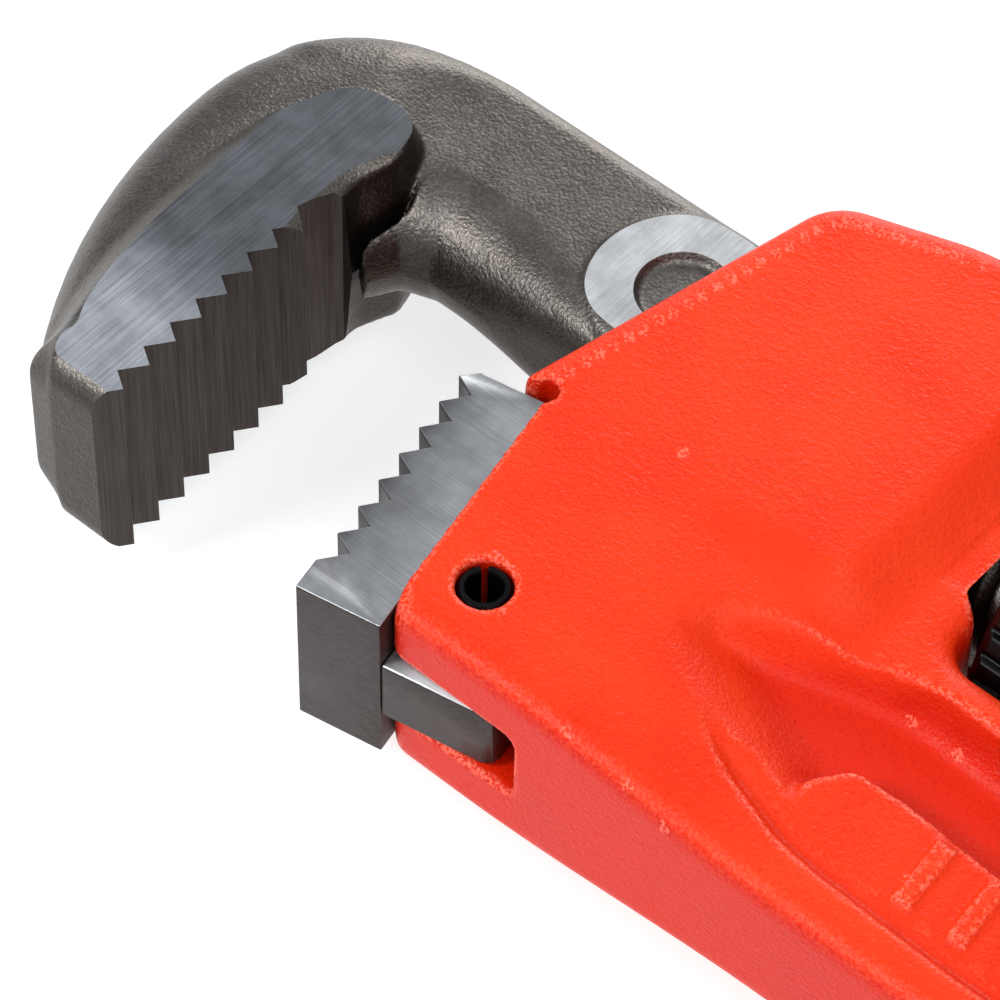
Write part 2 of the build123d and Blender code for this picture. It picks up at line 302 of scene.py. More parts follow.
def shade(obj: Piece, angle_deg: float) -> None:
    """Smooth shading with crisp edges at steep corners and between finishes.

    Args:
        obj: Object to shade.
        angle_deg: Corners steeper than this stay crisp.
    """
    mesh = obj.data
    for face in mesh.polygons:
        face.use_smooth = True
    mesh.set_sharp_from_angle(angle=math.radians(angle_deg))
    if len(mesh.materials) < 2:
        return
    work = bmesh.new()
    work.from_mesh(mesh)
    for edge in work.edges:
        if len({face.material_index for face in edge.link_faces}) > 1:
            edge.smooth = False
    work.to_mesh(mesh)
    work.free()


# ---------------------------------------------------------------- finishes


def linear(hex_colour: str) -> Tuple[float, float, float, float]:
    """Linear colour from an sRGB hex value such as "C81E0A"."""
    parts = [int(hex_colour[i : i + 2], 16) / 255 for i in (0, 2, 4)]
    out = [c / 12.92 if c <= 0.04045 else ((c + 0.055) / 1.055) ** 2.4 for c in parts]
    return out[0], out[1], out[2], 1.0


def add(
    tree: Tree,
    kind: str,
    settings: Optional[Dict[str, object]] = None,
    **sockets: SocketValue,
) -> bpy.types.Node:
    """Add a node with its settings and inputs.

    Args:
        tree: Node tree to add to.
        kind: Blender's name for the node, without the ShaderNode in front.
        settings: Properties of the node.
        **sockets: Input values or sockets to link; "_3" names an input by its number, and in other
            names "_" stands for a space.

    Returns:
        The new node.
    """
    node = tree.nodes.new("ShaderNode" + kind)
    for key, value in (settings or {}).items():
        setattr(node, key, value)
    for key, value in sockets.items():
        socket = node.inputs[int(key[1:])] if key[1:].isdigit() else node.inputs[key.replace("_", " ")]
        if isinstance(value, Socket):
            tree.links.new(value, socket)
        else:
            socket.default_value = value
    return node


def set_stops(node: bpy.types.Node, stops: Sequence[Tuple[float, str]]) -> None:
    """Put hex colours at their places on a colour ramp."""
    while len(node.color_ramp.elements) < len(stops):
        node.color_ramp.elements.new(0.5)
    for element, (at, colour) in zip(node.color_ramp.elements, stops):
        element.position = at
        element.color = linear(colour)


@dataclass(frozen=True)
class Surface:
    """What every finish of the tool has in common."""

    name: str

    def start(self) -> Tuple[bpy.types.Material, Tree, Socket]:
        """New material, its emptied tree and the place on the piece in millimetres."""
        material = bpy.data.materials.new(self.name)
        material.use_nodes = True
        tree = material.node_tree
        tree.nodes.clear()
        place = add(tree, "TexCoord").outputs["Object"]
        scale = (1000.0, 1000.0, 1000.0)
        mm = add(tree, "VectorMath", {"operation": "MULTIPLY"}, _0=place, _1=scale)
        return material, tree, mm.outputs["Vector"]

    def grain(
        self, tree: Tree, place: Socket, size_mm: float, detail: float = 2.0
    ) -> Socket:
        """Noise whose grains are size_mm across, as a 0 to 1 value."""
        return add(
            tree, "TexNoise", None, Vector=place, Scale=1.0 / size_mm, Detail=detail, Roughness=0.6
        ).outputs["Fac"]

    def stretched(
        self, tree: Tree, place: Socket, factors: Tuple[float, float, float]
    ) -> Socket:
        """Place on the piece with each direction scaled, for marks that run one way."""
        return add(tree, "VectorMath", {"operation": "MULTIPLY"}, _0=place, _1=factors).outputs["Vector"]

    def times(self, tree: Tree, first: Socket, second: Socket) -> Socket:
        """Product of two values."""
        return add(tree, "Math", {"operation": "MULTIPLY"}, _0=first, _1=second).outputs[0]

    def ramp(
        self, tree: Tree, value: Socket, stops: Sequence[Tuple[float, str]]
    ) -> Socket:
        """Colour from a 0 to 1 value through hex stops."""
        node = add(tree, "ValToRGB", None, Fac=value)
        set_stops(node, stops)
        return node.outputs["Color"]

    def spread(
        self, tree: Tree, value: Socket, low: float, high: float
    ) -> Socket:
        """A noise value spread over low to high."""
        return add(
            tree, "MapRange", None, Value=value, From_Min=0.3, From_Max=0.7, To_Min=low, To_Max=high
        ).outputs["Result"]

    def dent(
        self,
        tree: Tree,
        height: Socket,
        depth_mm: float,
        under: Optional[Socket] = None,
    ) -> Socket:
        """Bumped normal from a height that is depth_mm deep, on top of another bump."""
        node = add(tree, "Bump", None, Height=height, Strength=1.0, Distance=depth_mm * MM)
        if under is not None:
            tree.links.new(under, node.inputs["Normal"])
        return node.outputs["Normal"]

    def share(
        self, tree: Tree, value: Socket, low: float, high: float
    ) -> Socket:
        """Eased share of the way from one value to another.

        Args:
            tree: Node tree to add to.
            value: Value to look at.
            low: Value that gives 0; may be the larger.
            high: Value that gives 1.

        Returns:
            Share from 0 to 1.
        """
        return add(
            tree, "MapRange", {"interpolation_type": "SMOOTHSTEP"}, Value=value, From_Min=low, From_Max=high
        ).outputs["Result"]

    def size(self, tree: Tree, vector: Socket, middle: float = 0.0) -> Socket:
        """Distance of a vector's Z from a middle value, either way."""
        z = add(tree, "SeparateXYZ", None, Vector=vector).outputs["Z"]
        off = add(tree, "Math", {"operation": "SUBTRACT"}, _0=z, _1=middle).outputs[0]
        return add(tree, "Math", {"operation": "ABSOLUTE"}, _0=off).outputs[0]

    def mixed(
        self,
        tree: Tree,
        amount: SocketValue,
        under: Socket,
        over: Union[str, Socket],
        blend: str = "MIX",
    ) -> Socket:
        """One colour laid over another.

        Args:
            tree: Node tree to add to.
            amount: How much of the upper colour, 0 to 1.
            under: Lower colour.
            over: Upper colour, hex or socket.
            blend: How the two combine.

        Returns:
            Mixed colour.
        """
        top = linear(over) if isinstance(over, str) else over
        node = add(tree, "Mix", {"data_type": "RGBA", "blend_type": blend}, _0=amount, _6=under, _7=top)
        return node.outputs[2]

    def close(self, tree: Tree, **sockets: SocketValue) -> None:
        """Shader and output of the material."""
        shader = add(tree, "BsdfPrincipled", None, **sockets)
        add(tree, "OutputMaterial", None, Surface=shader.outputs["BSDF"])


@dataclass(frozen=True)
class CastEnamel(Surface):
    """Sprayed enamel over a sand casting.

    The sand's grain shows through the paint as pale pink specks on edges, partly wear from hands and
    partly a painted highlight on the rounded edges. The hollows are painted deeper and redder, and faces
    turned sideways darker, both as painted shade.
    """

    body: str = "F23A08"
    deep: str = "EC3004"
    # painted shade for the low places of the trough
    hollow_shade: str = "DC2402"
    # painted shade multiplied into faces turned sideways
    side: str = "DDA8A0"
    # edge wear and painted highlight on the rounded edges
    wear_and_sheen: str = "F66A52"
    peel_mm: float = 0.9
    sand_mm: float = 0.42
    peel_depth_mm: float = 0.10
    sand_depth_mm: float = 0.11
    hollow_shade_mm: Tuple[float, float] = (9.7, 7.2)
    hollow_shade_facing: Tuple[float, float] = (0.3, 0.55)
    side_shade_facing: Tuple[float, float] = (0.75, 0.35)
    wear_and_sheen_edge: Tuple[float, float] = (0.503, 0.53)
    wear_and_sheen_sand: Tuple[float, float] = (0.42, 0.62)

    def make(self) -> bpy.types.Material:
        """Build the material."""
        material, tree, place = self.start()
        peel = self.grain(tree, place, self.peel_mm)
        sand = self.grain(tree, place, self.sand_mm)
        cloud = self.grain(tree, place, 14.0, 1.0)
        upward = self.size(tree, add(tree, "TexCoord").outputs["Normal"])
        # painted shade: low, upward-facing places in the trough get a deeper red
        low = self.share(tree, self.size(tree, place, ORIGIN[2] / MM), *self.hollow_shade_mm)
        hollow_shade_mask = self.times(tree, low, self.share(tree, upward, *self.hollow_shade_facing))
        base = self.ramp(tree, cloud, ((0.3, self.deep), (0.65, self.body)))
        base = self.mixed(tree, hollow_shade_mask, base, self.hollow_shade)
        # painted shade: faces turned sideways are darkened by multiplying in the side colour
        base = self.mixed(tree, self.share(tree, upward, *self.side_shade_facing), base, self.side, "MULTIPLY")
        fleck = self.ramp(tree, sand, ((0.32, "F2E0DC"), (0.5, "FFFFFF")))
        colour = self.mixed(tree, self.share(tree, peel, 0.2, 0.5), base, fleck, "MULTIPLY")
        # pale pink on the edges: partly wear, partly a painted highlight on the rounded edges
        edge = self.share(tree, add(tree, "NewGeometry").outputs["Pointiness"], *self.wear_and_sheen_edge)
        wear_and_sheen_mask = self.times(tree, edge, self.share(tree, sand, *self.wear_and_sheen_sand))
        colour = self.mixed(tree, wear_and_sheen_mask, colour, self.wear_and_sheen)
        normal = self.dent(tree, sand, self.sand_depth_mm, self.dent(tree, peel, self.peel_depth_mm))
        rough = self.spread(tree, cloud, 0.36, 0.44)
        self.close(tree, Base_Color=colour, Roughness=rough, Normal=normal, Specular_IOR_Level=0.2)
        return material


@dataclass(frozen=True)
class BlastedForging(Surface):
    """Drop-forged steel after shot blasting and oiling.

    Every shot leaves a small dent, so the grey breaks into fine dull sparkles; faces turned
    sideways are darkened as painted shade.
    """

    dark: str = "5C5854"
    light: str = "787470"
    # painted shade multiplied into faces turned sideways
    side: str = "A6A09B"
    shot_mm: float = 0.42
    shot_depth_mm: float = 0.11
    rough_low: float = 0.36
    rough_high: float = 0.44

    def make(self) -> bpy.types.Material:
        """Build the material."""
        material, tree, place = self.start()
        shot = self.grain(tree, place, self.shot_mm)
        scale = self.grain(tree, place, 5.0, 3.0)
        lump = self.grain(tree, place, 1.6, 2.0)
        upward = self.size(tree, add(tree, "TexCoord").outputs["Normal"])
        tone = self.ramp(tree, shot, ((0.3, self.dark), (0.7, self.light)))
        patch = self.ramp(tree, scale, ((0.35, "EAE6E2"), (0.65, "FFFFFF")))
        colour = self.mixed(tree, self.share(tree, scale, 0.0, 0.1), tone, patch, "MULTIPLY")
        # painted shade: faces turned sideways are darkened by multiplying in the side colour
        colour = self.mixed(tree, self.share(tree, upward, 0.7, 0.2), colour, self.side, "MULTIPLY")
        normal = self.dent(tree, shot, self.shot_depth_mm, self.dent(tree, lump, 0.08))
        rough = self.spread(tree, scale, self.rough_low, self.rough_high)
        self.close(tree, Base_Color=colour, Metallic=1.0, Roughness=rough, Normal=normal)
        return material


@dataclass(frozen=True)
class GroundSteel(Surface):
    """Steel face finished on a grinder or by a cutter.

    The wheel leaves fine parallel lines, which pull highlights out across them.
    """

    dark: str = "7F8286"
    light: str = "A3A6AA"
    along: Tuple[float, float, float] = (1.0, 0.02, 1.0)
    line_mm: float = 0.24
    line_depth_mm: float = 0.012
    rough_low: float = 0.33
    rough_high: float = 0.4
    # optional painted highlight towards the far end of the face
    bright: Optional[str] = None
    sheen_from: Tuple[float, float] = (30.0, 42.0)

    def make(self) -> bpy.types.Material:
        """Build the material."""
        material, tree, place = self.start()
        run = self.stretched(tree, place, self.along)
        lines = self.grain(tree, run, self.line_mm, 3.0)
        broad = self.grain(tree, run, self.line_mm * 5, 2.0)
        stain = self.grain(tree, place, 5.0, 3.0)
        tone = self.ramp(tree, lines, ((0.3, self.dark), (0.7, self.light)))
        patch = self.ramp(tree, stain, ((0.3, "E2E1E0"), (0.65, "FFFFFF")))
        colour = self.mixed(tree, self.share(tree, stain, 0.0, 0.1), tone, patch, "MULTIPLY")
        if self.bright:
            # painted highlight: the far end of the face is lightened, standing in for a reflection of the
            # light
            low, high = (value + ORIGIN[1] / MM for value in self.sheen_from)
            along = add(tree, "SeparateXYZ", None, Vector=place).outputs["Y"]
            colour = self.mixed(tree, self.share(tree, along, low, high), colour, self.bright, "DIVIDE")
        normal = self.dent(tree, lines, self.line_depth_mm, self.dent(tree, broad, self.line_depth_mm * 0.8))
        rough = self.spread(tree, stain, self.rough_low, self.rough_high)
        self.close(tree, Base_Color=colour, Metallic=1.0, Roughness=rough, Normal=normal)
        return material


@dataclass(frozen=True)
class LightTable(Surface):
    """Backlit white acrylic: dull on top and glowing a little, so shadows stay faint."""

    tone: str = "C6C6C6"
    glow: float = 0.62

    def make(self) -> bpy.types.Material:
        """Build the material."""
        material, tree, place = self.start()
        tooth = self.grain(tree, place, 1.5, 2.0)
        colour = self.ramp(tree, tooth, ((0.3, "C2C2C2"), (0.7, self.tone)))
        self.close(
            tree,
            Base_Color=colour,
            Roughness=0.85,
            Normal=self.dent(tree, tooth, 0.01),
            Emission_Color=linear("FFFFFF"),
            Emission_Strength=self.glow,
        )
        return material


# ---------------------------------------------------------------- pieces


@dataclass(frozen=True)
class Fit:
    """Sizes that more than one piece depends on, in mm."""

    housing_half: float = 13.5
    beam_half: float = 10.0
    shank_half_w: float = 12.3
    shank_half_t: float = 9.25
    head_half: float = 14.0
    axis_y: float = AXIS_Y
    pitch: float = 5.0
    thread_root: float = 10.1
    thread_phase: float = 3.5
    heel_x: float = 62.3
    heel_y: float = 20.1
    heel_lean_deg: float = 10.4
    heel_len: float = 35.6
    heel_h: float = 10.6
    heel_half_t: float = 11.5
    tongue_depth: float = 14.2
    tongue_half_t: float = 4.5
    pin_r: float = 3.175
    nut_r: float = 19.0
    handle_end: float = -290.5
    hang_x: float = -273.5
    hang_y: float = 37.0
    hang_r: float = 8.0
    rock: float = math.tan(math.radians(2.5))

    def heel_axes(self) -> Tuple[Array, Array]:
        """Directions along the heel jaw's seat to the front, and up to its teeth."""
        a = math.radians(self.heel_lean_deg)
        return np.array((-math.sin(a), math.cos(a))), np.array((math.cos(a), math.sin(a)))

    def from_heel(self, t: float, n: float) -> Tuple[float, float]:
        """Point t along the heel jaw's seat and n above it."""
        along, up = self.heel_axes()
        return (
            self.heel_x + t * along[0] + n * up[0],
            self.heel_y + t * along[1] + n * up[1],
        )

    def pin_centre(self) -> Tuple[float, float]:
        """Centre of the spring pin."""
        return self.from_heel(self.heel_len - 6.3 - self.pin_r, -7.3)

    def helix(self, x: Array, y: Array, z: Array, grow: float, play: float) -> Array:
        """Field of the threaded rod: a core with a helical ridge.

        Args:
            x: X of the grid.
            y: Y of the grid.
            z: Z of the grid.
            grow: How much larger in radius than the shank's thread.
            play: How much wider each ridge is.

        Returns:
            Signed distance, near enough, in mm.
        """
        y = y - self.axis_y
        r = np.sqrt(y**2 + z**2)
        turn = np.arctan2(y, -z) / (2 * math.pi) * self.pitch
        u = np.mod(x - self.thread_phase - turn + self.pitch / 2, self.pitch) - self.pitch / 2
        flank = np.abs(u) - (1.55 + play / 2 - (r - self.thread_root - grow) * 0.273)
        ridge = both(r - self.shank_half_w - grow, flank * 0.96, 0.5)
        return either(ridge, r - self.thread_root - grow, 0.6)


@dataclass
class Handle:
    """One-piece casting: housing, beam with sunk webs and lettering pad, hang hole."""

    fit: Fit
    enamel: CastEnamel
    step: float = 0.45
    edge_mm: float = 3.0
    sunk_half: float = 5.0
    pad_half: float = 10.2
    groove_mm: float = 0.55
    bar_rise: float = 0.55
    bars: int = 30
    bar_start: float = -6.0
    bar_pitch: float = 7.0
    bar_half_long: float = 4.5
    bar_half_wide: float = 1.2
    bar_lean: float = 0.08
    sunk_rise: float = 3.2
    rim_run: float = 5.6
    pad_drop: float = 1.15
    window_half_x: float = 9.3
    window_edge: float = 4.0
    notch: Tuple[float, float, float] = (63.0, 19.9, 1.6)

    def plan(self) -> Array:
        """Outline of the whole casting."""
        foot = self.fit.from_heel(self.fit.heel_len, 0)
        return rounded((
            (66.4, 19.0, 2.0), (64.8, 30.0, 0), (foot[0] + 4, 53.5, 0.0), (-16, 53.9, 60), (-70, 52.6, 90),
            (-150, 50.4, 120), (self.fit.hang_x, 54.0, 0), (self.fit.handle_end, 54.0, 16.5),
            (self.fit.handle_end, 20.0, 16.5), (self.fit.hang_x, 20.0, 0), (-150, 24.6, 120),
            (-62, 19.6, 60), (-38, 18.4, 3.5), (-36.0, -22.0, 4), (-24, -28.5, 14), (10, -30.2, 40),
            (38.5, -29.4, 30), (57.0, -23.2, 7.5),
        ))

    def heights(self, x: Array, y: Array) -> Array:
        """Half-thickness of the casting over its plan.

        Args:
            x: X of the plan's grid.
            y: Y of the plan's grid.

        Returns:
            Half-thickness in mm.
        """
        fit = self.fit
        drop = fit.housing_half - fit.beam_half
        front = fit.beam_half + drop * ease(x / 46.0)
        back = fit.beam_half + drop * ease((x + 42.0) / 9.0)
        top = front + (back - front) * ease((24.0 - y) / 7.0)
        # trough: tight rim beside the nut's window, long convex slope on the other side
        trough = rounded((
            (35.0, 41.0, 3), (34.4, 32.6, 3), (31.6, 28.4, 3), (21.4, 23.9, 20), (13.6, 20.5, 8),
            (6, 19.7, 10),
            (-4, 20.1, 15), (-44, 24.0, 30), (-120, 28.0, 60), (-236, 24.6, 7), (-247, 37.4, 12),
            (-236, 51.0, 7),
            (-120, 48.0, 60), (-16, 51.0, 40), (14, 50.0, 20),
        ))
        crest = rounded((
            (35.6, 35.2, 3), (28.6, 39.6, 20), (22.8, 42.4, 12), (14, 45.0, 12), (6, 46.4, 20),
            (-30, 47.0, 60),
            (-120, 44.0, 60), (-236, 49.0, 7), (-247, 37.4, 12), (-236, 18, 7), (-120, 18, 6), (35.6, 15, 6),
        ))
        steep = ease(-outline_distance(trough, x, y) / self.rim_run)
        slope = ease(-outline_distance(crest, x, y) / (4.5 + 7.5 * ease((x - 2.0) / 12.0)))
        sunk = self.sunk_half + self.sunk_rise * ease(x / 34.0)
        height = top + (sunk - top) * steep * slope
        # the pad stands a little lower than the flange, with its side dropping along the groove's line
        line_x = (-246, -120, -60, -15, 2.2, 8.1, 15.8, 19.1, 24.0, 30.0)
        line_y = (48.6, 45.6, 47.6, 48.1, 47.5, 46.9, 44.6, 43.3, 40.8, 37.0)
        line = np.interp(x, line_x, line_y)
        pad = rounded((
            (-232, 32.0, 4), (-120, 33.4, 40), (-12, 33.8, 30), (1.0, 32.8, 6), (8.2, 33.2, 4),
            (12.0, 38.5, 5),
            (10.8, 45.0, 5), (2, 60, 3), (-232, 60, 4),
        ))
        on_pad = ease(-outline_distance(pad, x, y) / 1.7)
        level = np.minimum(top - self.pad_drop, self.pad_half)
        height = height + (np.maximum(level, height) - height) * on_pad
        fall = ease((line + 0.9 - y) / 1.8) * ease((24.0 - x) / 9.0)
        height = np.minimum(height, top - (top - level) * fall)
        groove = np.exp(-(((y - line + 0.9) / 1.0) ** 2)) * ease((25.0 - x) / 10.0)
        height = height - self.groove_mm * groove
        for i in range(self.bars):
            at = self.bar_start - self.bar_pitch * i
            mid = 40.3 - 1.6 * min(-at, 110) / 110
            along = np.abs(y - mid) - self.bar_half_long
            across = np.abs((x - at) + self.bar_lean * (y - mid)) - self.bar_half_wide
            bar = np.maximum(along, across)
            height = height + self.bar_rise * ease((0.35 - bar) / 0.7)
            height = height - 0.14 * np.exp(-(((bar - 0.8) / 0.4) ** 2))
        return height

    def carve_field(self, grid: Grid) -> Array:
        """Field of the casting with all of its openings.

        Args:
            grid: Grid that covers the casting.

        Returns:
            Field in mm, negative inside.
        """
        fit = self.fit
        x, y, z = grid.axes()
        plan_x, plan_y = x[:, :, 0], y[:, :, 0]
        edge = self.edge_mm + 1.5 * ease((-20 - plan_x) / 60)
        field = both(
            outline_distance(self.plan(), plan_x, plan_y)[:, :, None],
            slab(z, self.heights(plan_x, plan_y), grid.step),
            edge[:, :, None],
        )
        along, up = fit.heel_axes()
        t = (plan_x - fit.heel_x) * along[0] + (plan_y - fit.heel_y) * along[1]
        n = (plan_x - fit.heel_x) * up[0] + (plan_y - fit.heel_y) * up[1]
        t, n = t[:, :, None], n[:, :, None]
        seat = both(-n, -(t + 1.0), 1.6)
        field = both(field, -seat + 0 * z, 0.5 + 1.8 * ease((t - 29.0) / 5.0))
        corner = 1.6
        q_z, q_n = np.abs(z) - (fit.tongue_half_t + 0.6 - corner), -n - 17.4 + corner
        tongue = np.sqrt(np.maximum(q_z, 0) ** 2 + np.maximum(q_n, 0) ** 2) - corner
        tongue = np.maximum(tongue + np.minimum(np.maximum(q_z, q_n), 0), 1.5 - t)
        field = both(field, -tongue, 0.7)
        gap = fit.shank_half_w + 0.45
        off_axis = y - fit.axis_y
        shaft = both(np.abs(off_axis) - gap - np.abs(x) * fit.rock, np.abs(z) - fit.shank_half_t - 0.45, 1.5)
        shaft = np.maximum(shaft, -45 - x)
        field = both(field, -shaft, 0.9)
        reach = fit.nut_r + 1.3
        window = rounded(tuple(
            (sx * self.window_half_x, fit.axis_y + sy * reach, 3.5)
            for sx, sy in ((1, 1), (-1, 1), (-1, -1), (1, -1))
        ))
        opening = outline_distance(window, plan_x, plan_y)[:, :, None]
        field = both(field, -opening + 0 * z, self.window_edge)
        # both seats leave room for the springs when the shank rocks
        room = np.clip((x - 11.0) * 0.055, 0.0, 2.3) / 2
        leaf_seat = np.maximum(np.abs(off_axis + 14.3 + room) - 2.5 - room, np.abs(z) - 6.6)
        leaf_seat = np.maximum(np.abs(x - 32) - 21, leaf_seat)
        field = both(field, -leaf_seat, 0.4)
        coil_seat = np.maximum(np.sqrt((x - 26) ** 2 + z**2) - 4.8, np.abs(off_axis - 19.5) - 7.3)
        field = both(field, -coil_seat, 0.4)
        pin_x, pin_y = fit.pin_centre()
        pin_hole = np.sqrt((plan_x - pin_x) ** 2 + (plan_y - pin_y) ** 2)[:, :, None] - fit.pin_r - 0.05
        field = both(field, -pin_hole + 0 * z, 0.5)
        notch_x, notch_y, notch_r = self.notch
        notch = np.sqrt((plan_x - notch_x) ** 2 + (plan_y - notch_y) ** 2)[:, :, None] - notch_r
        field = both(field, -notch + 0 * z, 0.6)
        hang = np.sqrt((plan_x - fit.hang_x) ** 2 + (plan_y - fit.hang_y) ** 2)[:, :, None] - fit.hang_r
        return both(field, -hang + 0 * z, 1.6)

    def build(self) -> Piece:
        """Mesh and dress the casting."""
        grid = Grid((self.fit.handle_end - 1.35, -31.5, -14.4), (68.4, 55.8, 14.4), self.step)
        obj = grid.mesh("handle_casting", self.carve_field(grid))
        obj.data.materials.append(self.enamel.make())
        shade(obj, 60)
        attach(obj, Body.HANDLE.value)
        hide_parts("handle")
        return obj


@dataclass
class HookJaw:
    """Forging with a threaded shank; flats, ring and teeth are cut afterwards."""

    fit: Fit
    forging: BlastedForging
    flat: GroundSteel
    ring_face: GroundSteel
    flank: GroundSteel
    step: float = 0.4
    crown_x: float = 126.2
    crown_r: float = 24.6
    back_r: float = 69.0
    nose_y: float = 54.0
    tail_x: float = -94.0
    thread_end: float = 33.5
    ring_x: float = 62.5
    ring_y: float = AXIS_Y
    teeth: int = 8
    tooth_pitch: float = 4.38
    tooth_slant: float = 0.19
    first_root: Tuple[float, float] = (99.3, 53.9)
    tooth_tip: Tuple[float, float] = (-2.13, -2.88)

    def plan(self) -> Array:
        """Outline of the forging, with the crown and back as two arcs."""
        crown_r, back_r = self.crown_r, self.back_r
        back, front = self.fit.axis_y - self.fit.shank_half_w, self.fit.axis_y + self.fit.shank_half_w
        cx, cy = self.crown_x - crown_r, back + crown_r
        points = [(self.thread_end - 2, back)]
        for k in range(13):
            a = math.radians(-90 + 90 * k / 12)
            points.append((cx + crown_r * math.cos(a), cy + crown_r * math.sin(a)))
        for k in range(1, 12):
            a = math.asin((self.nose_y - 1.0 - cy) / back_r) * k / 11
            points.append((self.crown_x - back_r + back_r * math.cos(a), cy + back_r * math.sin(a)))
        points += [(106.0, self.nose_y), (95.2, self.nose_y), (95.0, front + 4.0), (93.4, front + 1.2)]
        points += [(90.0, front), (self.thread_end - 2, front)]
        return np.array(points)

    def heights(self, x: Array, y: Array) -> Array:
        """Half-thickness of the forging before its flats are ground.

        Args:
            x: X of the plan's grid.
            y: Y of the plan's grid.

        Returns:
            Half-thickness in mm.
        """
        fit = self.fit
        late = 4.0 * ease((6.0 - y) / 16.0)
        height = fit.shank_half_t + 2.9 * ease((x - 94.0 - late) / (11.0 + 0.5 * late))
        pad = rounded((
            (92, 58, 1), (105.5, 56.0, 3), (110.4, 48.5, 6), (111.4, 36, 30), (112.4, 10, 9),
            (108.6, -0.2, 7),
            (99.0, -0.4, 5), (96.4, 6.0, 3), (98.0, 11.0, 2), (98.0, 14, 2), (92, 16, 2),
        ))
        away = outline_distance(pad, x, y)
        steep = 2.2 + 3.2 * ease((x - 104.0) / 6.0) * ease((y - 4.0) / 20.0)
        lift = ease(0.62 - away / steep)
        height = height + (fit.head_half + 0.9 - height) * lift
        reach = np.sqrt((x - self.ring_x) ** 2 + (y - self.ring_y) ** 2)
        height = height + 0.55 * ease((12.1 - reach) / 1.5)
        return height - 1.3 * ease((6.1 - reach) / 1.3)

    def rough_field(self, grid: Grid) -> Array:
        """Field of the forging and its rolled thread.

        Args:
            grid: Grid that covers the forging.

        Returns:
            Field in mm, negative inside.
        """
        fit = self.fit
        x, y, z = grid.axes()
        plan_x, plan_y = x[:, :, 0], y[:, :, 0]
        front = ease((plan_y - fit.axis_y) / 4.0)
        soft = 3.4 + 7.0 * ease((plan_x - 97) / 14) * ease((53.0 - plan_y) / 6.0)
        shank_end = ease((plan_x - 64) / 24) * ease((104 - plan_x) / 6) * ease((30 - plan_y) / 12)
        soft = soft + front * (1.4 + 7.0 * shank_end)
        body = both(
            outline_distance(self.plan(), plan_x, plan_y)[:, :, None],
            slab(z, self.heights(plan_x, plan_y), grid.step),
            soft[:, :, None],
        )
        rod = both(fit.helix(x, y, z, 0.0, 0.0), np.abs(z) - fit.shank_half_t, 0.8)
        rod = both(np.maximum(rod, x - self.thread_end), self.tail_x - x + 0 * z, 1.5)
        return np.minimum(body, rod)

    def tooth_outline(self) -> List[Tuple[float, float]]:
        """Saw-tooth outline of what the broach takes away."""
        points: List[Tuple[float, float]] = []
        for i in range(self.teeth):
            root = (self.first_root[0] + i * self.tooth_slant, self.first_root[1] - i * self.tooth_pitch)
            points += [root, (root[0] + self.tooth_tip[0], root[1] + self.tooth_tip[1])]
        end = (
            self.first_root[0] + self.teeth * self.tooth_slant,
            self.first_root[1] - self.teeth * self.tooth_pitch,
        )
        points += [end, (end[0] - 1.3, end[1] - 4.6), (end[0] - 2.0, end[1] - 5.3)]
        points += [(84.0, end[1] - 5.3), (84.0, 70.0), (self.first_root[0] - 0.4, 70.0)]
        return points

    def build(self) -> Piece:
        """Mesh the forging, grind its flats, cut its teeth and dress it."""
        fit = self.fit
        grid = Grid((self.tail_x - 1.6, -17.6, -15.6), (self.crown_x + 1.6, 56.0, 15.6), self.step)
        obj = grid.mesh("hook_jaw_forging", self.rough_field(grid))
        for surface in (self.forging, self.flat, self.ring_face, self.flank):
            obj.data.materials.append(surface.make())
        block = ((86, -24), (132, -24), (132, 70), (86, 70))
        ring_low, ring_high = self.ring_x - 14, self.ring_x + 14
        ring_block = ((ring_low, -24), (ring_high, -24), (ring_high, 20), (ring_low, 20))
        for side in (1, -1):
            low, high = sorted((side * fit.head_half, side * 20.0))
            carve(obj, prism("flat_wheel", block, low, high), 1)
            low, high = sorted((side * (fit.shank_half_t + 0.3), side * 20.0))
            carve(obj, prism("ring_wheel", ring_block, low, high), 2)
        carve(obj, prism("broach", self.tooth_outline(), -20, 20), 3)
        shade(obj, 38)
        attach(obj, Body.HOOK_JAW.value)
        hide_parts("hook_jaw")
        return obj


